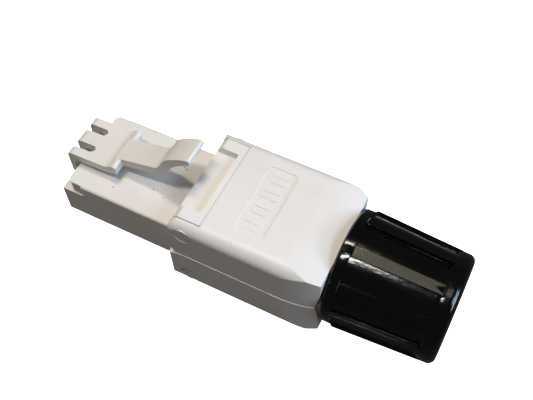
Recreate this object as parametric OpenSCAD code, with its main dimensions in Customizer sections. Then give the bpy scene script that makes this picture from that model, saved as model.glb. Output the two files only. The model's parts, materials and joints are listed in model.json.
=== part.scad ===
// Field termination plug: an eight way plug with a sprung latch, two hinged half covers and a clamp nut.
// Axes: +X runs from the mating face to the nut, +Z is the latch side, z = 0 is the cable axis.
// All sizes are in millimetres and x = 0 is the mating face of the nose.

/* [View] */
// Which piece to draw

/* [Nose] */
// Half width of the nose
nose_half_w = 5.84; // [5.7:0.01:6]
// Top of the nose above the cable axis
nose_top = 2.45; // [2:0.01:2.8]
// Bottom of the nose below the cable axis
nose_bottom = 4.2; // [4:0.01:4.6]
// Length of the nose from the mating face to the hinge block
nose_len = 16.5; // [15:0.1:20]
// Setback of the upper front face behind the lower one
step_back = 1.05; // [0.6:0.05:1.5]
// Height of the top of the lower front step
step_top = 0.48; // [0.2:0.01:0.6]
// Sideways recess beside the latch root
side_recess = 0.2; // [0.1:0.02:0.5]
// How far back the sideways recess reaches
side_recess_len = 2.97; // [2:0.05:4]
// Radius on the long edges of the nose
nose_edge_r = 0.35; // [0.1:0.05:0.6]
// Distance of the thin witness line from the mating face
witness_x = 3.3; // [2.5:0.05:5]
// Width of the witness line
witness_w = 0.08; // [0.04:0.01:0.2]
// Depth of the witness line
witness_d = 0.05; // [0.02:0.01:0.15]

/* [Front corners] */
// Radius on the upright corners of the upper front face
front_corner_r = 0.75; // [0.3:0.05:1.2]

/* [Contacts] */
// Distance between neighbouring contacts
contact_pitch = 1.02; // [0.9:0.01:1.1]
// Thickness of one contact blade
contact_t = 0.34; // [0.2:0.02:0.5]
// Side gap between a blade and its slot
contact_gap = 0.1; // [0.05:0.01:0.2]
// Length of a contact slot from the mating face
slot_len = 6.2; // [5:0.1:8]
// Height of the blade edge above the underside of the nose
contact_inset = 0.55; // [0.4:0.05:1]

/* [Latch] */
// Half width of the latch plate
latch_half_w = 3.05; // [2.9:0.01:3.1]
// Front face of the latch legs ahead of the mating face
leg_out = 0.5; // [0.2:0.02:0.6]
// Thickness of the latch legs
leg_t = 0.9; // [0.6:0.05:1]
// Top of the plate above the legs
plate_front_z = 4.4; // [4.2:0.02:4.6]
// Distance of the shoulders from the mating face
shoulder_x = 6.85; // [6.5:0.05:7.2]
// Top of the plate at the shoulders
shoulder_z = 5.15; // [5:0.05:5.3]
// Thickness of the shoulders
shoulder_t = 1.28; // [1:0.02:1.3]
// Thickness of the lever
lever_t = 1.25; // [1:0.05:1.4]
// Thickness of the tab at its end
tab_t = 0.55; // [0.4:0.05:0.8]
// Half width of the lever
lever_half_w = 1.63; // [1.5:0.01:1.8]
// Where the lever bends up into the tab
bend_x = 12.0; // [11.5:0.1:12.5]
// Top of the lever at the bend
bend_z = 6.65; // [6.3:0.05:7]
// Rear end of the tab
tab_x = 16.88; // [16.5:0.02:17.2]
// Top of the tab at its rear end
tab_z = 10.87; // [10.4:0.02:11.1]
// Half width of the tab
tab_half_w = 1.7; // [1.6:0.05:2.2]
// Distance of the slots between the legs from the middle
leg_slot_y = 1.4; // [1.2:0.05:1.5]
// Width of the two slots between the legs
leg_slot_w = 0.95; // [0.6:0.05:1.1]
// Rear end of those slots
leg_slot_x = 2.5; // [1.8:0.05:3.2]
// Radius of the bead the latch rocks on
bead_r = 0.4; // [0.35:0.01:0.45]
// Running clearance round the bead
bead_clear = 0.05; // [0.02:0.01:0.1]

/* [Hinge block] */
// Distance of the hinge axes behind the front of the hinge block
pivot_in = 1.85; // [1.5:0.05:2.5]
// Depth of the hinge axes below the outer faces
pivot_drop = 1.9; // [1.7:0.05:2.1]
// Radius of the hinge pins
pin_r = 1.1; // [0.8:0.05:1.3]
// Running clearance round the hinge pins
pin_clear = 0.07; // [0.03:0.01:0.1]
// Thickness of the ears and side walls of the covers
side_wall = 1.14; // [0.9:0.02:1.3]
// Depth of the sunk floor between the knuckles
floor_drop = 1.0; // [0.6:0.05:1.3]
// Radius on the upper front edge of the knuckles
knuckle_r = 1.25; // [0.5:0.05:1.5]
// Width of each knuckle
knuckle_w = 1.55; // [1.2:0.05:1.9]
// Distance of the raised strip behind the hinge axes
strip_in = 1.15; // [0.9:0.05:1.4]

/* [Covers] */
// Half width of the top cover
cover_half_w = 7.34; // [7.2:0.01:7.6]
// How far the bottom cover stands proud of the top one
cover_proud = 0.07; // [0:0.01:0.15]
// Height of each cover from the parting plane
cover_h = 6.3; // [6.1:0.05:6.6]
// Wall thickness of the covers at top and bottom
cover_wall = 1.2; // [0.9:0.05:1.4]
// Distance of the seam on the outer face behind the hinge axes
seam_in = 1.8; // [1.6:0.05:2.1]
// Gap between the covers and their neighbours
cover_gap = 0.1; // [0.08:0.01:0.2]
// Radius on the long outer edges of the covers
cover_edge_r = 1.5; // [0.8:0.05:1.8]
// How far the ears of the top cover reach past the hinge block
ear_reach = 0.15; // [0:0.05:0.4]
// How far the ears of the bottom cover reach past the hinge block
ear_reach_low = 0.55; // [0:0.05:0.7]
// Radius on the upright front edges of the ears
ear_round = 0.45; // [0.2:0.05:0.55]
// Length of the rear part in which the covers close in
taper_len = 4.95; // [3.5:0.05:6]
// Drop of the outer face at the rear end
taper_drop = 1.05; // [0.6:0.05:1.3]
// Draw in of each side at the rear end
taper_side = 0.85; // [0.4:0.05:1.1]
// How far the rounded rear corners reach past the sides
rear_corner = 1.6; // [1.2:0.05:2]
// Length of the covers behind the front of the hinge block
cover_len = 18.85; // [18:0.05:20]
// Thickness of the rear wall of the covers
end_wall = 1.85; // [1.5:0.05:2.2]

/* [Panel] */
// Distance of the sunk panel behind the seam
panel_in = 3.4; // [2:0.05:5]
// Length of the sunk panel
panel_len = 3.85; // [3:0.05:5]
// Distance of the sunk panel from the sides
panel_margin = 2.54; // [2:0.02:3.5]
// Corner radius of the sunk panel
panel_r = 0.7; // [0.3:0.05:1]
// Depth of the sunk panel
panel_d = 0.1; // [0.06:0.02:0.3]

/* [Wiring] */
// Thickness of the circuit board
board_t = 1.0; // [0.8:0.1:1.2]
// Thickness of the side rails beside the circuit board
rail_t = 1.0; // [0.8:0.05:1.2]
// Gap between the circuit board and the flange of the cable entry
board_gap = 1.95; // [1.5:0.05:3]
// Gap between the hinge block and the wire blocks
block_gap = 1.63; // [1.2:0.01:2]
// Length of board that stands out behind the wire blocks
block_in = 0.8; // [0.4:0.05:1.5]
// Thickness of the plates that press the wires home
presser_t = 1.25; // [0.8:0.05:1.5]
// Distance of the outer wire channels from the edges of the board
wire_margin = 0.6; // [0.5:0.05:0.8]
// Width of a wire channel
wire_w = 1.0; // [0.8:0.05:1.2]
// Thickness of a cutting terminal
terminal_t = 0.35; // [0.25:0.05:0.5]

/* [Cable entry] */
// Height of the thread rings
thread_h = 0.45; // [0.3:0.05:0.6]
// Wall of the cable entry round its bore
entry_wall = 1.5; // [1.3:0.05:1.8]
// Distance between the thread rings
thread_pitch = 1.25; // [0.8:0.05:1.5]
// How far the clamp fingers lie below the neck
finger_drop = 0.35; // [0.2:0.05:0.5]
// Distance of the clamp fingers from the rear end of the nut
finger_in = 2.8; // [2.5:0.1:3.5]
// Distance of the rubber sleeve behind the front of the nut
seal_set = 3.6; // [3:0.1:5]
// Length of the rubber sleeve
seal_len = 3.4; // [2.5:0.1:4]
// Thickness of the rubber sleeve
seal_t = 0.35; // [0.25:0.05:0.45]
// Width of the slits between the clamp fingers
slit_w = 0.7; // [0.5:0.05:1]

/* [Nut] */
// Gap between the covers and the nut
nut_gap = 0.11; // [0.1:0.01:0.3]
// Length of the nut
nut_len = 13.64; // [13:0.02:15]
// How far the plain flange at the front of the nut lies below its ribs
nut_flange_drop = 0.25; // [0.1:0.05:0.5]
// Length of the plain flange
nut_flange_len = 1.4; // [1:0.05:1.8]
// How far the ribs lie inside the sides of the covers at the front
rib_inset = 0.1; // [0:0.01:0.3]
// How much the radius over the ribs falls towards the rear
rib_taper = 0.56; // [0.3:0.02:0.8]
// Depth of the flutes between the ribs
flute_d = 0.46; // [0.3:0.02:0.6]
// Number of ribs round the nut
ribs = 10; // [6:1:14]
// Width of one rib as an angle
rib_deg = 11; // [8:0.5:16]
// Turn of the first rib from the top
rib_turn = 14; // [0:1:36]
// Rounding of the rear edge of the nut
nut_rear_r = 0.9; // [0.5:0.05:1.1]
// How much wider the hole in the rear wall is than the cable bore
hole_over = 0.2; // [0:0.05:0.4]
// Wall of the nut inside its flange
nut_wall = 1.7; // [1.5:0.05:1.9]
// Radial clearance between nut and thread rings
nut_clear = 0.09; // [0.04:0.01:0.1]

/* [Hidden] */
$fn = 72;
e = 0.01;
pivot_x = nose_len + pivot_in;
pivot_z = cover_h - pivot_drop;
strip_x = pivot_x + strip_in;
seam_x = pivot_x + seam_in;
floor_z = cover_h - floor_drop;
cover_half_low = cover_half_w + cover_proud;
ear_in = cover_half_w - side_wall;
block_half_w = ear_in - cover_gap;
ear_front = nose_len - ear_reach;
ear_front_low = nose_len - ear_reach_low;
cover_end = nose_len + cover_len;
taper_x = cover_end - taper_len;
wall_in_x = cover_end - end_wall;
hinge_r = sqrt(pow(seam_x - pivot_x, 2) + pow(cover_h - pivot_z, 2));
sweep_r = sqrt(pow(cover_end - pivot_x, 2) + pow(cover_h - taper_drop - pivot_z, 2));
block_rear = pivot_x + hinge_r;
cavity_x0 = block_rear + cover_gap;
cavity_h = cover_h - cover_wall;
parting = cover_gap / 2;
corner_drop = 1;
rear_round = cover_half_w + rear_corner;
side_arc = (pow(taper_len, 2) + pow(taper_side, 2)) / (2 * taper_side);
top_arc = (pow(taper_len, 2) + pow(taper_drop, 2)) / (2 * taper_drop);
corner_arc = (pow(taper_len, 2) + pow(corner_drop, 2)) / (2 * corner_drop);
bead_x = bead_r + bead_clear + 0.1;
bead_z = step_top - 0.03;
leg_x0 = -leg_out;
leg_x1 = leg_t - leg_out;
panel_x0 = seam_x + panel_in;
panel_x1 = panel_x0 + panel_len;
panel_half_w = cover_half_w - panel_margin;
rail_half_w = block_half_w - 0.1;
rail_h = 2.6;
board_half_w = rail_half_w - rail_t;
board_x0 = 2.2;
board_z = board_t / 2;
flange_t = 1.6;
flange_gap = 0.35;
flange_x1 = wall_in_x - flange_gap;
flange_x0 = flange_x1 - flange_t;
board_end = flange_x0 - board_gap;
block_x0 = block_rear + block_gap;
block_x1 = board_end - block_in;
presser_gap = 0.25;
wire_block_h = cavity_h - board_z - presser_gap - presser_t;
wire_pitch = (board_half_w - wire_margin) / 2;
terminal_half_w = wire_pitch / 2 - 0.2;
rib_r0 = cover_half_w - rib_inset;
rib_r1 = rib_r0 - rib_taper;
nut_flange_r = rib_r0 - nut_flange_drop;
nut_bore_r = nut_flange_r - nut_wall;
thread_r = nut_bore_r - nut_clear;
neck_r = thread_r - thread_h;
bore_r = neck_r - entry_wall;
finger_r = neck_r - finger_drop;
disc_r = nut_flange_r - 0.7;
nut_x0 = cover_end + nut_gap;
nut_x1 = nut_x0 + nut_len;
finger_end = nut_x1 - finger_in;
ring_r = nut_bore_r - 0.2;
ring_t = 1.8;
ring_x0 = finger_end - 1.1;
ring_x1 = ring_x0 + ring_t;
nut_wall_x = ring_x1 + 0.12;
nut_hole_r = bore_r + hole_over;
rib_x1 = nut_x1 - nut_rear_r - 0.85;
white = [0.93, 0.92, 0.9];
metal = [0.83, 0.66, 0.32];
steel = [0.75, 0.75, 0.74];

// A flat shape in x and z, drawn out along y
module side_shape(y0, y1) {
    translate([0, y1, 0])
        rotate([90, 0, 0])
            linear_extrude(y1 - y0)
                children();
}

// A flat shape in y and z, drawn out along x
module front_shape(x0, x1) {
    translate([x0, 0, 0])
        rotate([90, 0, 90])
            linear_extrude(x1 - x0)
                children();
}

// A flat shape in x and radius, turned about the cable axis
module turned() {
    rotate([0, 90, 0])
        rotate_extrude($fn = 96)
            rotate([0, 0, 90])
                mirror([0, 1, 0])
                    children();
}

// A box between two corners
module slab(x0, x1, y0, y1, z0, z1) {
    translate([x0, y0, z0])
        cube([x1 - x0, y1 - y0, z1 - z0]);
}

// A pin across the plug, along y
module cross_pin(x, z, r, y0, y1) {
    translate([x, y1, z])
        rotate([90, 0, 0])
            cylinder(r = r, h = y1 - y0, $fn = 48);
}

// A rectangle with four round corners
module soft_square(x0, x1, y0, y1, r) {
    translate([x0 + r, y0])
        square([x1 - x0 - 2 * r, y1 - y0]);
    translate([x0, y0 + r])
        square([x1 - x0, y1 - y0 - 2 * r]);
    for (x = [x0 + r, x1 - r], y = [y0 + r, y1 - r])
        translate([x, y])
            circle(r = r, $fn = 32);
}

// Profile of the hinge block seen from the side
module block_profile() {
    translate([nose_len, -pivot_z])
        square([block_rear - nose_len, 2 * pivot_z]);
    translate([nose_len + knuckle_r, -cover_h])
        square([pivot_x - nose_len - knuckle_r, 2 * cover_h]);
    for (s = [-1, 1])
        intersection() {
            translate([pivot_x, s * pivot_z])
                circle(r = hinge_r, $fn = 96);
            translate([pivot_x - 1, -cover_h])
                square([hinge_r + 1, 2 * cover_h]);
        }
    translate([nose_len, -cover_h + knuckle_r])
        square([pivot_x - nose_len, 2 * (cover_h - knuckle_r)]);
    for (s = [-1, 1])
        translate([nose_len + knuckle_r, s * (cover_h - knuckle_r)])
            circle(r = knuckle_r, $fn = 64);
}

module nose() {
    difference() {
        front_shape(0, nose_len + 0.5)
            soft_square(-nose_half_w, nose_half_w, -nose_bottom, nose_top, nose_edge_r);
        translate([0, 0, step_top])
            linear_extrude(5)
                difference() {
                    translate([-1, -nose_half_w - 1])
                        square([side_recess_len + 1, 2 * nose_half_w + 2]);
                    soft_square(step_back, side_recess_len + 5, -nose_half_w + side_recess,
                        nose_half_w - side_recess, front_corner_r);
                }
        cross_pin(bead_x, bead_z, bead_r + bead_clear, -latch_half_w - 0.1, latch_half_w + 0.1);
        slab(bead_x - 0.3, bead_x + 0.3, -latch_half_w - 0.1, latch_half_w + 0.1, bead_z, step_top + 1);
        for (i = [0 : 7])
            translate([0, (i - 3.5) * contact_pitch, 0])
                slab(-1, slot_len, -contact_t / 2 - contact_gap, contact_t / 2 + contact_gap,
                    -nose_bottom - 1, -board_z);
        slab(witness_x, witness_x + witness_w, -7, 7, nose_top - witness_d, 5);
        for (s = [-1, 1])
            scale([1, s, 1])
                slab(witness_x, witness_x + witness_w, nose_half_w - witness_d, 8, step_top, 5);
        side_shape(-7, 7)
            polygon([[-0.1, -nose_bottom + 0.35], [0.45, -nose_bottom - 0.1], [-0.1, -nose_bottom - 0.1]]);
    }
}

module plug_body() {
    color(white)
        difference() {
            union() {
                nose();
                side_shape(-block_half_w, block_half_w)
                    block_profile();
                for (s = [-1, 1])
                    cross_pin(pivot_x, s * pivot_z, pin_r, -cover_half_w + 0.05, cover_half_w - 0.05);
                for (s = [-1, 1])
                    scale([1, s, 1])
                        slab(block_rear - 0.5, flange_x0, board_half_w, rail_half_w, -rail_h / 2, rail_h / 2);
            }
            for (s = [-1, 1])
                scale([1, 1, s])
                    slab(nose_len - 1, strip_x, -block_half_w + knuckle_w, block_half_w - knuckle_w,
                        floor_z, cover_h + 1);
            slab(board_x0, block_rear + 1, -board_half_w, board_half_w, -board_z, board_z);
            slab(block_rear - 2.6, block_rear + 1, -board_half_w + 0.4, board_half_w - 0.4,
                1.7 - cavity_h, cavity_h - 1.7);
        }
}

// Points on an arc in the plane of the shape, angles in degrees
function arc(x, z, r, a0, a1, n) =
    [for (i = [0 : n]) let (a = a0 + (a1 - a0) * i / n) [x + r * cos(a), z + r * sin(a)]];

// Side profile of the legs and the plate of the latch
module plate_profile() {
    r = 1.05;
    low = shoulder_z - shoulder_t;
    polygon(concat(
        [[leg_x1, bead_z + 0.1], [leg_x1, plate_front_z - 1.5], [leg_x1 + 0.35, plate_front_z - 1.22],
        [shoulder_x - 1.85, low - 0.36], [shoulder_x - 0.3, low - 0.04]],
        arc(shoulder_x - 0.25, low + 0.22, 0.25, -75, 0, 4),
        arc(shoulder_x - 0.4, shoulder_z - 0.4, 0.4, 0, 95, 6),
        [[shoulder_x - 0.72, shoulder_z - 0.06], [shoulder_x - 1.4, plate_front_z + 0.26]],
        arc(shoulder_x - 1.9, plate_front_z + 1.05, 0.9, -60, -85, 3),
        arc(leg_x0 + r, plate_front_z - r, r, 88, 180, 8),
        arc(leg_x0 + 0.35, bead_z + 0.5, 0.35, 180, 250, 4)));
}

// Side profile of the lever and the tab
module lever_profile() {
    root_x = shoulder_x - 0.9;
    root_z = shoulder_z - 0.1;
    polygon(concat(
        [[root_x, root_z], [root_x, root_z - lever_t], [shoulder_x + 1, bend_z - lever_t - 1.05],
        [bend_x - 0.9, bend_z - lever_t - 0.17], [bend_x + 0.1, bend_z - lever_t + 0.23]],
        arc(bend_x + 0.18, bend_z + 0.62, 1.48, -75, -32, 5),
        [[bend_x + 1.95, bend_z + 1.15], [bend_x + 2.3, bend_z + 1.6], [bend_x + 2.9, bend_z + 2.24],
        [tab_x - 0.15, tab_z - tab_t - 0.2], [tab_x, tab_z - tab_t]],
        arc(tab_x - 0.28, tab_z - 0.26, 0.26, 15, 110, 5),
        [[tab_x - 1.2, tab_z - 0.3], [bend_x + 2.3, bend_z + 3.12], [bend_x + 1.6, bend_z + 2.6],
        [bend_x + 1.2, bend_z + 2.2], [bend_x + 0.85, bend_z + 1.6], [bend_x + 0.45, bend_z + 0.8],
        [bend_x + 0.2, bend_z + 0.35], [bend_x - 0.1, bend_z + 0.03], [bend_x - 0.5, bend_z - 0.14],
        [bend_x - 1.6, bend_z - 0.42], [bend_x - 3, bend_z - 0.78], [shoulder_x + 0.65, shoulder_z + 0.33],
        [shoulder_x - 0.2, shoulder_z + 0.06]]));
}

// Plate and legs of the latch seen from above
module plate_plan() {
    leg_w = latch_half_w - leg_slot_y - leg_slot_w / 2;
    for (s = [-1, 1])
        scale([1, s])
            soft_square(leg_x0, shoulder_x, latch_half_w - leg_w, latch_half_w, 0.32);
    soft_square(leg_x0, shoulder_x - 1, -leg_slot_y + leg_slot_w / 2, leg_slot_y - leg_slot_w / 2, 0.32);
    translate([leg_slot_x, 0])
        difference() {
            translate([0, -latch_half_w + 0.4])
                square([shoulder_x - leg_slot_x - 0.05, 2 * latch_half_w - 0.8]);
            for (s = [-1, 1])
                translate([-0.1, s * leg_slot_y])
                    circle(r = 0.35, $fn = 32);
        }
}

module latch() {
    color(white) {
        intersection() {
            union() {
                side_shape(-latch_half_w, latch_half_w)
                    plate_profile();
                cross_pin(bead_x, bead_z, bead_r, -latch_half_w, latch_half_w);
            }
            linear_extrude(9)
                plate_plan();
        }
        side_shape(-lever_half_w, lever_half_w)
            lever_profile();
        intersection() {
            side_shape(-tab_half_w, tab_half_w)
                lever_profile();
            slab(bend_x + 0.6, tab_x + 1, -3, 3, 0, 20);
        }
    }
}

module contact(i) {
    y = (i - 4.5) * contact_pitch;
    z0 = -nose_bottom + contact_inset;
    color(metal)
        side_shape(y - contact_t / 2, y + contact_t / 2)
            difference() {
                translate([0.75, z0])
                    square([slot_len - 0.95, -board_z - z0]);
                translate([0.55, z0 - 0.2])
                    rotate([0, 0, 38])
                        square([1.4, 0.5], center = true);
                translate([3.4, z0 - 0.25])
                    square([3, 1.15]);
            }
}

module circuit_board() {
    color([0.1, 0.33, 0.2])
        difference() {
            slab(board_x0, board_end, -board_half_w, board_half_w, -board_z, board_z);
            for (x = [12, 15])
                translate([x, 0, -2])
                    cylinder(r = 0.6, h = 4, $fn = 32);
            for (s = [-1, 1])
                translate([board_end, s * board_half_w, -2])
                    cylinder(r = 0.8, h = 4, $fn = 32);
        }
}

// Centre of a terminal along x, staggered from channel to channel
function terminal_x(i) = i % 2 == 0 ? block_x0 + 1.9 : block_x1 - 1.9;

module wire_block(s) {
    color([0.86, 0.85, 0.82])
        scale([1, 1, s])
            difference() {
                slab(block_x0, block_x1, -board_half_w + 0.45, board_half_w - 0.45,
                    board_z, board_z + wire_block_h);
                for (i = [0 : 3])
                    translate([0, (i - 1.5) * wire_pitch, 0])
                        slab(block_x0 - 1, block_x1 + 1, -wire_w / 2, wire_w / 2,
                            board_z + wire_block_h - 1.9, cover_h);
                for (i = [0 : 3])
                    translate([terminal_x(i), (i - 1.5) * wire_pitch, 0])
                        slab(-terminal_t / 2 - 0.04, terminal_t / 2 + 0.04,
                            -terminal_half_w - 0.04, terminal_half_w + 0.04, 0, cover_h);
            }
}

module terminal(i) {
    s = i <= 4 ? 1 : -1;
    k = (i - 1) % 4;
    color(steel)
        scale([1, 1, s])
            translate([terminal_x(k), (k - 1.5) * wire_pitch, 0])
                difference() {
                    slab(-terminal_t / 2, terminal_t / 2, -terminal_half_w, terminal_half_w,
                        board_z, board_z + wire_block_h - 0.35);
                    slab(-1, 1, -0.14, 0.14, board_z + wire_block_h - 1.8, cover_h);
                    front_shape(-1, 1)
                        polygon([[-0.14, board_z + wire_block_h - 1], [-0.55, board_z + wire_block_h],
                            [0.55, board_z + wire_block_h], [0.14, board_z + wire_block_h - 1]]);
                }
}

// Outer form of one cover above the parting plane
module cover_form(half_w, front, nose_round) {
    intersection() {
        front_shape(front - 1, cover_end + 1)
            union() {
                translate([-half_w, parting])
                    square([2 * half_w, cover_h - cover_edge_r - parting]);
                translate([-half_w + cover_edge_r, parting])
                    square([2 * (half_w - cover_edge_r), cover_h - parting]);
                for (s = [-1, 1])
                    translate([s * (half_w - cover_edge_r), cover_h - cover_edge_r])
                        circle(r = cover_edge_r, $fn = 48);
            }
        linear_extrude(cover_h + 1)
            union() {
                translate([front + 1, -half_w])
                    square([taper_x - front - 1, 2 * half_w]);
                for (s = [-1, 1])
                    scale([1, s])
                        soft_square(front, front + 3, ear_in - 0.05, half_w, ear_round);
                intersection() {
                    translate([taper_x, half_w - side_arc])
                        circle(r = side_arc, $fn = 180);
                    translate([taper_x, side_arc - half_w])
                        circle(r = side_arc, $fn = 180);
                    translate([taper_x - e, -half_w])
                        square([cover_end - taper_x + 1, 2 * half_w]);
                }
            }
        side_shape(-half_w - 1, half_w + 1)
            union() {
                translate([front + nose_round, 0])
                    square([taper_x - front - nose_round, cover_h]);
                translate([front, 0])
                    square([taper_x - front - nose_round, cover_h - nose_round]);
                translate([front + nose_round, cover_h - nose_round])
                    circle(r = nose_round, $fn = 64);
                intersection() {
                    translate([taper_x, cover_h - top_arc])
                        circle(r = top_arc, $fn = 180);
                    translate([taper_x - e, 0])
                        square([cover_end - taper_x + 1, cover_h]);
                }
            }
        side_shape(-half_w - 1, half_w + 1)
            translate([pivot_x, pivot_z])
                circle(r = sweep_r, $fn = 240);
        side_shape(-half_w - 1, half_w + 1)
            union() {
                translate([pivot_x, -1])
                    square([cover_end, cover_h + 2]);
                translate([front - 1, pivot_z])
                    square([cover_end, cover_h]);
                translate([pivot_x, pivot_z])
                    circle(r = pivot_z - parting, $fn = 120);
            }
        turned()
            union() {
                translate([front - 1, 0])
                    square([taper_x - front + 1, 14]);
                intersection() {
                    translate([taper_x, rear_round + corner_drop - corner_arc])
                        circle(r = corner_arc, $fn = 180);
                    translate([taper_x - e, 0])
                        square([cover_end - taper_x + 1, 14]);
                }
            }
    }
}

// Everything inside a cover that has to be free
module cover_room() {
    side_shape(-ear_in, ear_in)
        union() {
            translate([0, -1])
                square([pivot_x, cover_h + 3]);
            translate([pivot_x - 1, -1])
                square([hinge_r + cover_gap + 1, pivot_z + 1]);
            translate([pivot_x, pivot_z])
                circle(r = hinge_r + cover_gap, $fn = 120);
        }
    slab(cavity_x0 - 0.5, wall_in_x, -ear_in, ear_in, -1, cavity_h);
    translate([wall_in_x - 1, 0, 0])
        rotate([0, 90, 0])
            cylinder(r = neck_r + 0.3, h = 6, $fn = 96);
    for (s = [-1, 1])
        scale([1, s, 1])
            cross_pin(pivot_x, pivot_z, pin_r + pin_clear, ear_in - 1, cover_half_low + 1);
}

// Small raised bars, one for each wire, in the sunk panel
module panel_bars() {
    for (i = [0 : 7])
        translate([0, (i - 3.5) * 1.14 + (i % 2 == 0 ? 0.1 : -0.1), cover_h - panel_d - e])
            linear_extrude(panel_d * 0.8)
                soft_square(panel_x0 + 0.9, panel_x1 - 0.9, -0.2, 0.2, 0.15);
}

module top_cover() {
    color(white) {
        difference() {
            cover_form(cover_half_w, ear_front, 1.5);
            cover_room();
            translate([0, 0, cover_h - panel_d])
                linear_extrude(1)
                    soft_square(panel_x0, panel_x1, -panel_half_w, panel_half_w, panel_r);
        }
        panel_bars();
    }
}

module bottom_cover() {
    color(white)
        mirror([0, 0, 1])
            difference() {
                cover_form(cover_half_low, ear_front_low, 2.1);
                cover_room();
            }
}

module presser(s) {
    top = cavity_h;
    low = board_z + wire_block_h + presser_gap;
    color([0.9, 0.89, 0.86])
        scale([1, 1, s]) {
            slab(block_x0 + 0.3, block_x1 - 0.3, -board_half_w + 0.65, board_half_w - 0.65, low, top);
            for (i = [0 : 3])
                translate([0, (i - 1.5) * wire_pitch, 0])
                    slab(block_x0 + 0.6, block_x1 - 0.6, -wire_w / 2 + 0.12, wire_w / 2 - 0.12,
                        board_z + wire_block_h - 0.2, low + e);
        }
}

module cable_entry() {
    color([0.9, 0.89, 0.87])
        difference() {
            union() {
                front_shape(flange_x0, flange_x1)
                    soft_square(-rail_half_w, rail_half_w, -cavity_h + 0.25, cavity_h - 0.25, 0.8);
                turned()
                    polygon(concat(
                        [[flange_x0 + 0.5, 0], [flange_x0 + 0.5, neck_r], [nut_x0 + 0.5, neck_r]],
                        [for (i = [0 : 4], p = [[0.1, 0], [0.35, 1], [0.6, 1], [0.85, 0]])
                            [nut_x0 + 0.5 + (i + p[0]) * thread_pitch, neck_r + p[1] * (thread_r - neck_r)]],
                        [[nut_x0 + 0.6 + 5 * thread_pitch, neck_r],
                        [nut_x0 + 0.9 + 5 * thread_pitch, finger_r], [finger_end - 0.7, finger_r],
                        [finger_end, finger_r - 0.5], [finger_end, 0]]));
                for (a = [0, 90])
                    rotate([a, 0, 0])
                        slab(board_end + 0.3, flange_x0 + 0.1, -0.35, 0.35, -finger_r, finger_r);
                difference() {
                    intersection() {
                        translate([cover_end - 1, 0, 0])
                            rotate([0, 90, 0])
                                cylinder(r = disc_r, h = nut_x0 - cover_end + 0.88, $fn = 96);
                        slab(flange_x0, nut_x0, -disc_r, disc_r, -pivot_z / 2, pivot_z / 2);
                    }
                    for (s = [-1, 1])
                        cross_pin(pivot_x, s * pivot_z, sweep_r + 0.12, -9, 9);
                }
            }
            translate([flange_x0 - 0.5, 0, 0])
                rotate([0, 90, 0])
                    cylinder(r = bore_r, h = 20, $fn = 96);
            for (a = [0, 60, 120])
                rotate([a, 0, 0])
                    slab(nut_x0 + 1.15 + 5 * thread_pitch, finger_end + 1, -slit_w / 2, slit_w / 2, -6, 6);
        }
}

module cable_seal() {
    color([0.25, 0.25, 0.25])
        turned()
            translate([nut_x0 + seal_set, bore_r - seal_t])
                square([seal_len, seal_t]);
}

module clamp_ring() {
    color([0.8, 0.8, 0.78])
        turned()
            polygon([[ring_x0, ring_r], [ring_x1 - 0.2, ring_r], [ring_x1, ring_r - 0.2],
                [ring_x1, nut_hole_r + 0.1], [ring_x1 - 0.4, nut_hole_r + 0.1],
                [finger_end, finger_r + 0.06], [ring_x0, finger_r + 0.06]]);
}

module clamp_nut() {
    rib_x0 = nut_x0 + nut_flange_len;
    reach = rib_r0 + 0.9;
    half_rib = reach * sin(rib_deg / 2);
    color([0.06, 0.06, 0.065])
        difference() {
            union() {
                turned() {
                    polygon([[nut_x0, 0], [nut_x0, nut_flange_r - 0.25], [nut_x0 + 0.25, nut_flange_r],
                        [rib_x0, nut_flange_r], [rib_x0, rib_r0 - flute_d], [rib_x1 - 0.6, rib_r1 - flute_d],
                        [rib_x1, rib_r1 - 0.03], [nut_x1 - nut_rear_r, rib_r1 - 0.06],
                        [nut_x1 - nut_rear_r, 0]]);
                    translate([nut_x1 - nut_rear_r - 0.1, 0])
                        square([nut_rear_r + 0.1, rib_r1 - 0.06 - nut_rear_r]);
                    intersection() {
                        translate([nut_x1 - nut_rear_r, rib_r1 - 0.06 - nut_rear_r])
                            circle(r = nut_rear_r, $fn = 48);
                        translate([nut_x1 - nut_rear_r - 0.1, rib_r1 - 0.1 - nut_rear_r])
                            square([2, 2]);
                    }
                }
                intersection() {
                    turned()
                        polygon([[rib_x0 - 0.1, 0], [rib_x0 - 0.1, rib_r0 - 0.15], [rib_x0 + 0.15, rib_r0],
                            [rib_x1 + 0.1, rib_r1], [rib_x1 + 0.1, 0]]);
                    front_shape(rib_x0 - 1, rib_x1 + 0.05)
                        for (i = [0 : ribs - 1])
                            rotate([0, 0, rib_turn + i * 360 / ribs])
                                polygon([[-half_rib, reach], [half_rib, reach],
                                    [0.3, nut_bore_r - 1], [-0.3, nut_bore_r - 1]]);
                }
            }
            turned()
                polygon(concat([[nut_x0 - 1, 0], [nut_x0 - 1, nut_bore_r + 0.3], [nut_x0, nut_bore_r + 0.3],
                    [nut_x0 + 0.3, nut_bore_r]],
                    [for (i = [0 : 3], p = [[0.2, 0], [0.4, 0.25], [0.7, 0.25], [0.9, 0]])
                        [nut_x0 + 0.6 + (i + p[0]) * thread_pitch, nut_bore_r + p[1]]],
                    [[nut_wall_x, nut_bore_r], [nut_wall_x, nut_hole_r], [nut_x1 - 0.4, nut_hole_r],
                    [nut_x1 + 0.1, nut_hole_r + 0.5], [nut_x1 + 1, nut_hole_r + 0.5], [nut_x1 + 1, 0]]));
        }
}

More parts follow.
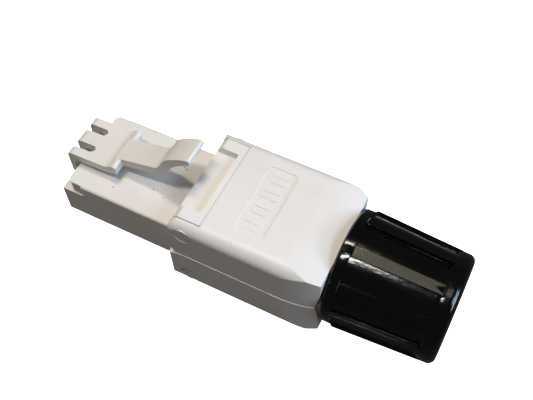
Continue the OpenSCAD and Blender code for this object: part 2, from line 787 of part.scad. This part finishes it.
plug_body();
latch();
contact(1);  // contact_1
contact(2);  // contact_2
contact(3);  // contact_3
contact(4);  // contact_4
contact(5);  // contact_5
contact(6);  // contact_6
contact(7);  // contact_7
contact(8);  // contact_8
circuit_board();
wire_block(1);  // wire_block_top
wire_block(-1);  // wire_block_bottom
terminal(1);  // terminal_1
terminal(2);  // terminal_2
terminal(3);  // terminal_3
terminal(4);  // terminal_4
terminal(5);  // terminal_5
terminal(6);  // terminal_6
terminal(7);  // terminal_7
terminal(8);  // terminal_8
top_cover();
bottom_cover();
presser(1);  // presser_top
presser(-1);  // presser_bottom
cable_entry();
cable_seal();
clamp_ring();
clamp_nut();
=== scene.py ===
import json
import math

import bmesh
import bpy
from mathutils import Euler, Matrix, Vector


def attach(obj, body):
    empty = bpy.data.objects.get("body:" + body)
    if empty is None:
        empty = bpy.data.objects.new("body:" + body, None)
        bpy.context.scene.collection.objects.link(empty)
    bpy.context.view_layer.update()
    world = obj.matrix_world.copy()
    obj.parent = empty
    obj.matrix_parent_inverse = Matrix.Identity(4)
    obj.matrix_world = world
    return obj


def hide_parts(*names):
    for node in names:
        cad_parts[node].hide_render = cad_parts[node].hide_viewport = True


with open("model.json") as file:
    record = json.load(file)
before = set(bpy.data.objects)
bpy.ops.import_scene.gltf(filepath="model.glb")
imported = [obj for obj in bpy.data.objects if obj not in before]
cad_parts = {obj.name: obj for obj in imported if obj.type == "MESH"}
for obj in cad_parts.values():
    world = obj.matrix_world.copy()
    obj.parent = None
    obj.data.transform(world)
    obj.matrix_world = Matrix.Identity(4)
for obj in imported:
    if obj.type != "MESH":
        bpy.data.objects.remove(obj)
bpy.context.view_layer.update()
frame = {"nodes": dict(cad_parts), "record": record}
mm = 0.001

slotOf = {entry["node"]: entry["material_slot"] for entry in frame["record"]["subparts"]}
bodyOf = {node: body for body, members in frame["record"]["behaviour"]["bodies"].items()
          for node in members}


def addObject(name, data):
    made = bpy.data.objects.new(name, data)
    bpy.context.scene.collection.objects.link(made)
    return made


# the view that the photograph was taken from, in millimetres and degrees
camera = {
    "place": (50.2245, -44.5314, 84.1549),
    "turn": (33.34345, 1.26754, 27.09192),
    "lens": 55.470,
    "sensor": 36.0,
    "nearest": 10.0,
    "furthest": 10000.0,
}

viewCamera = bpy.data.cameras.new("viewCamera")
viewCamera.lens = camera["lens"]
viewCamera.sensor_width = camera["sensor"]
viewCamera.clip_start = camera["nearest"] * mm
viewCamera.clip_end = camera["furthest"] * mm
cameraObject = addObject("viewCamera", viewCamera)
cameraObject.location = [v * mm for v in camera["place"]]
cameraObject.rotation_euler = Euler([math.radians(a) for a in camera["turn"]], "XYZ")
bpy.context.scene.camera = cameraObject
print("camera placed")

noiseMiddle = 0.5  # a noise swings about this value


class Wire:
    # a shader socket that can be used in sums
    def __init__(self, finish, socket):
        self.finish = finish
        self.socket = socket

    def maths(self, operation, first, second):
        return self.finish.add("ShaderNodeMath", {"operation": operation}, {0: first, 1: second})

    def __add__(self, other):
        return self.maths("ADD", self, other)

    def __radd__(self, other):
        return self.maths("ADD", other, self)

    def __sub__(self, other):
        return self.maths("SUBTRACT", self, other)

    def __rsub__(self, other):
        return self.maths("SUBTRACT", other, self)

    def __mul__(self, other):
        return self.maths("MULTIPLY", self, other)

    def __rmul__(self, other):
        return self.maths("MULTIPLY", other, self)

    def highest(self, other):
        return self.maths("MAXIMUM", self, other)

    def swing(self, amount):
        # a noise made to lie about zero
        return (self - noiseMiddle) * amount

    def ramp(self, start, end, low=0.0, high=1.0):
        # a soft step from low to high between start and end
        values = {0: self, 1: start, 2: end, 3: low, 4: high}
        return self.finish.add("ShaderNodeMapRange", {"interpolation_type": "SMOOTHSTEP"}, values)


class Finish:
    # one procedural material, on Object coordinates
    def __init__(self, name):
        self.material = bpy.data.materials.new(name)
        self.material.use_nodes = True
        self.nodes = self.material.node_tree.nodes
        self.links = self.material.node_tree.links
        self.nodes.clear()
        output = self.nodes.new("ShaderNodeOutputMaterial")
        self.shader = self.nodes.new("ShaderNodeBsdfPrincipled")
        self.links.new(self.shader.outputs["BSDF"], output.inputs["Surface"])
        self.place = self.add("ShaderNodeTexCoord", out="Object")

    def add(self, kind, settings=None, values=None, out=0):
        node = self.nodes.new(kind)
        for key, value in (settings or {}).items():
            setattr(node, key, value)
        for key, value in (values or {}).items():
            self.feed(node.inputs[key], value)
        return Wire(self, node.outputs[out])

    def feed(self, socket, value):
        if isinstance(value, Wire):
            self.links.new(value.socket, socket)
        else:
            socket.default_value = value

    def set(self, **values):
        for key, value in values.items():
            self.feed(self.shader.inputs[key.replace("_", " ")], value)

    def noise(self, scale, detail, roughness, place=None):
        values = {"Vector": place or self.place, "Scale": scale, "Detail": detail,
                  "Roughness": roughness}
        return self.add("ShaderNodeTexNoise", None, values, out="Fac")

    def stretched(self, scale):
        return self.add("ShaderNodeMapping", None, {"Vector": self.place, "Scale": scale})

    def blend(self, amount, first, second):
        # the sockets 6 and 7 of a Mix node are its colours, and its output 2 is a colour
        values = {0: amount, 6: first, 7: second}
        return self.add("ShaderNodeMix", {"data_type": "RGBA"}, values, out=2)

    def specks(self, points, dot):
        # soft dark dots at fixed places, given in millimetres with a radius
        total = None
        for x, y, z, radius in points:
            values = {0: self.place, 1: (x * mm, y * mm, z * mm)}
            away = self.add("ShaderNodeVectorMath", {"operation": "DISTANCE"}, values, out="Value")
            size = radius * mm
            dark = away.ramp(size * dot["core"], size * dot["edge"], dot["depth"], 0.0)
            total = dark if total is None else total.highest(dark)
        return total

    def bump(self, height, strength, distance):
        values = {"Height": height, "Strength": strength, "Distance": distance}
        return self.add("ShaderNodeBump", None, values)


# in each finish a noise is its scale, detail and roughness, a tone is the start, end, low and
# high of a ramp on it, or only its start and end, and a depth is in metres
whitePlastic = {
    "clean": (0.80, 0.775, 0.745, 1),
    "handled": (0.70, 0.655, 0.60, 1),
    "dirt": (0.16, 0.135, 0.115, 1),
    "cloud": (160.0, 4.0, 0.6),
    "cloudTone": (0.42, 0.75, 0.0, 0.35),
    "dust": (2600.0, 1.0, 0.5),
    "dustTone": (0.79, 0.83, 0.0, 0.4),
    "speck": {"core": 0.35, "edge": 0.9, "depth": 0.9},
    "grain": (9000.0, 2.0, 0.6),
    "grainStrength": 0.35,
    "grainDepth": 0.0000025,
    "roughness": 0.42,
    "cloudRoughness": 0.12,
    "dustRoughness": 0.2,
    "refraction": 1.5,
    "milkiness": 0.12,
    "milkColour": (1.0, 0.8, 0.6),
    "milkDepth": 0.0006,
}


def makeWhite(name, shift, points=()):
    paint = Finish(name)
    white = whitePlastic
    clean = tuple(c * shift for c in white["clean"][:3]) + (1,)
    cloud = paint.noise(*white["cloud"])
    colour = paint.blend(cloud.ramp(*white["cloudTone"]), clean, white["handled"])
    dust = paint.noise(*white["dust"]).ramp(*white["dustTone"])
    if points:
        dust = dust.highest(paint.specks(points, white["speck"]))
    colour = paint.blend(dust, colour, white["dirt"])
    rough = white["roughness"] + cloud.swing(white["cloudRoughness"])
    paint.set(Base_Color=colour, Roughness=rough + dust * white["dustRoughness"])
    grain = paint.noise(*white["grain"])
    paint.set(Normal=paint.bump(grain, white["grainStrength"], white["grainDepth"]))
    paint.set(IOR=white["refraction"], Subsurface_Weight=white["milkiness"],
              Subsurface_Radius=white["milkColour"], Subsurface_Scale=white["milkDepth"])
    return paint.material


# dirt that the photograph shows on the nose and the hinge floor: x, y, z and radius
noseSpecks = [
    (12.98, 2.34, 2.45, 0.16), (13.36, 2.15, 2.45, 0.20), (12.98, 1.03, 2.45, 0.12),
    (11.26, -2.18, 2.45, 0.14), (12.95, -2.65, 2.45, 0.12), (6.63, -4.05, 2.45, 0.14),
    (16.82, -1.32, 5.3, 0.12), (19.11, 2.54, 5.3, 0.10),
]

blackPlastic = {
    "colour": (0.0004, 0.0014, 0.0017, 1),
    "rubbed": (0.003, 0.0036, 0.0038, 1),
    "cloud": (220.0, 4.0, 0.6),
    "scratches": (420.0, 6.0, 0.7),
    "scratchStretch": (0.25, 3.0, 3.0),
    "scratchTone": (0.55, 0.75, 0.0, 0.5),
    "ripple": (3600.0, 3.0, 0.65),
    "rippleStretch": (0.35, 1.0, 1.0),
    "rippleStrength": 0.5,
    "rippleDepth": 0.000022,
    "roughness": 0.10,
    "cloudRoughness": 0.14,
    "scratchRoughness": 0.1,
    "refraction": 1.5,
}


def makeBlack(name):
    paint = Finish(name)
    black = blackPlastic
    cloud = paint.noise(*black["cloud"])
    scratches = paint.noise(*black["scratches"], paint.stretched(black["scratchStretch"]))
    worn = scratches.ramp(*black["scratchTone"])
    rough = black["roughness"] + cloud.swing(black["cloudRoughness"])
    ripple = paint.noise(*black["ripple"], paint.stretched(black["rippleStretch"]))
    paint.set(Base_Color=paint.blend(worn, black["colour"], black["rubbed"]))
    paint.set(Roughness=rough + worn * black["scratchRoughness"], IOR=black["refraction"])
    paint.set(Normal=paint.bump(ripple, black["rippleStrength"], black["rippleDepth"]))
    return paint.material


gold = {"colour": (0.85, 0.62, 0.26, 1), "roughness": 0.25}
tin = {"colour": (0.72, 0.72, 0.71, 1), "roughness": 0.32}
wornMetal = {
    "dulling": 0.72,
    "cloud": (900.0, 3.0, 0.6),
    "cloudTone": (0.45, 0.7),
    "cloudRoughness": 0.2,
    "lines": (3000.0, 2.0, 0.6),
    "lineStretch": (0.2, 1.0, 3.0),
    "lineStrength": 0.2,
    "lineDepth": 0.000003,
}


def makeMetal(name, metal):
    paint = Finish(name)
    dull = tuple(c * wornMetal["dulling"] for c in metal["colour"][:3]) + (1,)
    cloud = paint.noise(*wornMetal["cloud"])
    lines = paint.noise(*wornMetal["lines"], paint.stretched(wornMetal["lineStretch"]))
    tone = cloud.ramp(*wornMetal["cloudTone"])
    paint.set(Base_Color=paint.blend(tone, metal["colour"], dull), Metallic=1.0)
    paint.set(Roughness=metal["roughness"] + cloud.swing(wornMetal["cloudRoughness"]))
    paint.set(Normal=paint.bump(lines, wornMetal["lineStrength"], wornMetal["lineDepth"]))
    return paint.material


board = {
    "colour": (0.008, 0.055, 0.022, 1),
    "trackColour": (0.014, 0.095, 0.04, 1),
    "weave": (5000.0, 1.0, 0.5),
    "weaveRoughness": 0.1,
    "weaveHeight": 0.1,
    "tracks": (520.0, 0.0, 0.5),
    "trackStretch": (0.15, 1.0, 0.1),
    "trackTone": (0.5, 0.53),
    "roughness": 0.3,
    "strength": 0.4,
    "depth": 0.00002,
}


def makeBoard(name):
    paint = Finish(name)
    weave = paint.noise(*board["weave"])
    tracks = paint.noise(*board["tracks"], paint.stretched(board["trackStretch"]))
    tracks = tracks.ramp(*board["trackTone"])
    height = tracks + weave * board["weaveHeight"]
    paint.set(Base_Color=paint.blend(tracks, board["colour"], board["trackColour"]))
    paint.set(Roughness=board["roughness"] + weave.swing(board["weaveRoughness"]))
    paint.set(Normal=paint.bump(height, board["strength"], board["depth"]))
    return paint.material


rubber = {
    "colour": (0.018, 0.018, 0.018, 1),
    "bloom": (0.03, 0.029, 0.028, 1),
    "cloud": (700.0, 4.0, 0.6),
    "roughness": 0.72,
    "cloudRoughness": 0.15,
    "strength": 0.3,
    "depth": 0.00003,
}


def makeRubber(name):
    paint = Finish(name)
    cloud = paint.noise(*rubber["cloud"])
    paint.set(Base_Color=paint.blend(cloud, rubber["colour"], rubber["bloom"]))
    paint.set(Roughness=rubber["roughness"] + cloud.swing(rubber["cloudRoughness"]))
    paint.set(Normal=paint.bump(cloud, rubber["strength"], rubber["depth"]))
    return paint.material


# the finish of each material slot; the number after a white is how light it is
finishes = {
    "white_body": makeWhite("whiteBody", 1.0, noseSpecks),
    "white_cover": makeWhite("whiteCover", 0.99),
    "white_entry": makeWhite("whiteEntry", 0.96),
    "block_plastic": makeWhite("blockPlastic", 0.9),
    "contact_metal": makeMetal("contactGold", gold),
    "terminal_metal": makeMetal("terminalTin", tin),
    "board": makeBoard("boardGreen"),
    "seal_rubber": makeRubber("sealRubber"),
    "black_nut": makeBlack("nutBlack"),
}
for node, slot in slotOf.items():
    materials = frame["nodes"][node].data.materials
    materials.clear()
    materials.append(finishes[slot])
print("materials made")

# the nut's ribs: how many, the turn of the first and the half angle of their flat tops in degrees,
# then the place along X and the radius of their front and back ends in millimetres, and how far
# beside, under and ahead of a rib's top a point still belongs to it, in degrees and millimetres
nutRibs = {
    "count": 10,
    "turn": 14.0,
    "half": 5.5,
    "front": (36.86, 7.24),
    "back": (47.35, 6.68),
    "beside": 0.3,
    "under": 0.1,
    "ahead": 0.05,
}


def flattenRibs(shape):
    # the moulded ribs have flat tops, so the thin crown between their edges is pushed in
    pitch = 360.0 / nutRibs["count"]
    frontPlace, frontRadius = nutRibs["front"]
    backPlace, backRadius = nutRibs["back"]
    slope = (backRadius - frontRadius) / (backPlace - frontPlace)
    for vert in shape.verts:
        place = vert.co.x / mm
        radius = math.hypot(vert.co.y, vert.co.z)
        angle = math.degrees(math.atan2(-vert.co.y, vert.co.z)) - nutRibs["turn"]
        ribAngle = pitch * round(angle / pitch)
        away = angle - ribAngle
        ribTop = frontRadius + slope * (place - frontPlace)
        if abs(away) > nutRibs["half"] + nutRibs["beside"]:
            continue
        if radius < (ribTop - nutRibs["under"]) * mm or place < frontPlace - nutRibs["ahead"]:
            continue
        centre = math.radians(nutRibs["turn"] + ribAngle)
        outward = Vector((0, -math.sin(centre), math.cos(centre)))
        sunk = radius * (math.cos(math.radians(away)) - math.cos(math.radians(nutRibs["half"])))
        vert.co -= outward * max(0.0, sunk)


# moulded edges that are rounded off, on a copy of the node: the radius in millimetres, the steps
# across it, and the least angle of an edge in degrees
softEdges = {
    "plug_body": {"radius": 0.10, "steps": 2, "least": 28},
    "latch": {"radius": 0.20, "steps": 3, "least": 40},
    "clamp_nut": {"radius": 0.10, "steps": 2, "least": 28},
}

softening = {
    "mendReach": 0.0005,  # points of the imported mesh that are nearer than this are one, in mm
    "flatWithin": 0.8,  # faces that turn less than this are one, in degrees
    "sharpFrom": 32,  # edges that turn more than this are drawn sharp, in degrees
    "faceWeight": 90,  # how much the large faces lead the shading
}


def softenNode(name, edge):
    mesh = frame["nodes"][name].data.copy()
    shape = bmesh.new()
    shape.from_mesh(mesh)
    bmesh.ops.remove_doubles(shape, verts=shape.verts, dist=softening["mendReach"] * mm)
    if name == "clamp_nut":
        flattenRibs(shape)
    bmesh.ops.dissolve_limit(shape, angle_limit=math.radians(softening["flatWithin"]),
                             verts=shape.verts, edges=shape.edges)
    least = math.radians(edge["least"])
    sharp = [e for e in shape.edges if len(e.link_faces) == 2 and e.calc_face_angle(0) > least]
    bmesh.ops.bevel(shape, geom=sharp, offset=edge["radius"] * mm, offset_type="OFFSET",
                    affect="EDGES", segments=edge["steps"], profile=0.5, material=-1,
                    clamp_overlap=True)
    shape.to_mesh(mesh)
    shape.free()
    piece = addObject(name + "_soft", mesh)
    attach(piece, bodyOf[name])
    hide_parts(name)
    for face in mesh.polygons:
        face.use_smooth = True
    mesh.set_sharp_from_angle(angle=math.radians(softening["sharpFrom"]))
    weighted = piece.modifiers.new("evenShading", "WEIGHTED_NORMAL")
    weighted.mode = "FACE_AREA"
    weighted.weight = softening["faceWeight"]
    weighted.keep_sharp = True


for name, edge in softEdges.items():
    softenNode(name, edge)
print("edges rounded")

# a white floor and dome, and the faint light from all round, in metres
studio = {
    "floorDrop": 0.0074,
    "floorSize": 3.0,
    "floorMiddle": 0.03,
    "domeRadius": 1.4,
    "domeSteps": (48, 24),
    "backdropColour": (0.9, 0.9, 0.9, 1),
    "backdropRoughness": 0.9,
    "backdropGlow": 1.6,
    "backdropGlowColour": (1.0, 1.0, 1.0, 1),
    "world": 0.069,
    "worldColour": (1.0, 0.925, 0.806, 1),
}

# two long lamps and a dim ceiling overhead, and a cool window behind the nut in two parts: the
# way to each from the object, the way its long side runs, its two sides in metres and its watts
lamps = {
    "nearLamp": {"towards": (-0.12, -0.255, 1.0), "along": (1, 0, 0), "size": (0.15, 0.045),
                 "power": 0.94, "colour": (1.0, 0.944, 0.924)},
    "farLamp": {"towards": (-0.12, 0.16, 1.0), "along": (1, 0, 0), "size": (0.13, 0.05),
                "power": 0.81, "colour": (1.0, 0.894, 0.727)},
    "ceiling": {"towards": (-0.06, -0.01, 1.0), "along": (1, 0, 0), "size": (0.34, 0.085),
                "power": 0.15, "colour": (1.0, 0.95, 0.72)},
    "highWindow": {"towards": (1.0, 0.05, 0.80), "along": (0, 1, 0), "size": (0.20, 0.20),
                   "power": 1.01, "colour": (0.514, 0.699, 1.0)},
    "lowWindow": {"towards": (1.0, 0.10, 0.22), "along": (0, 1, 0), "size": (0.22, 0.14),
                  "power": 1.13, "colour": (0.652, 0.818, 1.0)},
}
lampsAway = 0.5
lampsAim = (0.026, 0, 0)


def addBackdrop(name, shape, material):
    # the object isn't lit or shaded by a backdrop and doesn't mirror it
    mesh = bpy.data.meshes.new(name)
    shape.to_mesh(mesh)
    shape.free()
    mesh.materials.append(material)
    backdrop = addObject(name, mesh)
    backdrop.visible_diffuse = False
    backdrop.visible_glossy = False
    backdrop.visible_shadow = False


def makeBackdrops():
    paint = Finish("floorPale")
    paint.set(Base_Color=studio["backdropColour"], Roughness=studio["backdropRoughness"])
    paint.set(Emission_Color=studio["backdropGlowColour"],
              Emission_Strength=studio["backdropGlow"])
    floor = bmesh.new()
    bmesh.ops.create_grid(floor, x_segments=1, y_segments=1, size=studio["floorSize"] / 2)
    middle = (studio["floorMiddle"], 0, -studio["floorDrop"])
    bmesh.ops.translate(floor, verts=floor.verts, vec=middle)
    addBackdrop("floor", floor, paint.material)
    dome = bmesh.new()  # stands behind everything in the low views
    across, up = studio["domeSteps"]
    bmesh.ops.create_uvsphere(dome, u_segments=across, v_segments=up, radius=studio["domeRadius"])
    addBackdrop("dome", dome, paint.material)


def addLamp(name, settings):
    data = bpy.data.lights.new(name, "AREA")
    data.shape = "ELLIPSE"
    data.size, data.size_y = settings["size"]
    data.energy = settings["power"]
    data.color = settings["colour"]
    lamp = addObject(name, data)
    towards = Vector(settings["towards"]).normalized()
    across = towards.cross(Vector(settings["along"])).normalized()
    turn = Matrix((across.cross(towards), across, towards)).transposed()
    lamp.location = Vector(lampsAim) + towards * lampsAway
    lamp.rotation_euler = turn.to_euler()


makeBackdrops()
for name, settings in lamps.items():
    addLamp(name, settings)
world = bpy.data.worlds.new("studioWorld")
world.use_nodes = True
world.node_tree.nodes["Background"].inputs["Color"].default_value = studio["worldColour"]
world.node_tree.nodes["Background"].inputs["Strength"].default_value = studio["world"]
bpy.context.scene.world = world
# the photograph's tones add up as plain light
bpy.context.scene.view_settings.view_transform = "Standard"
print("studio lit")
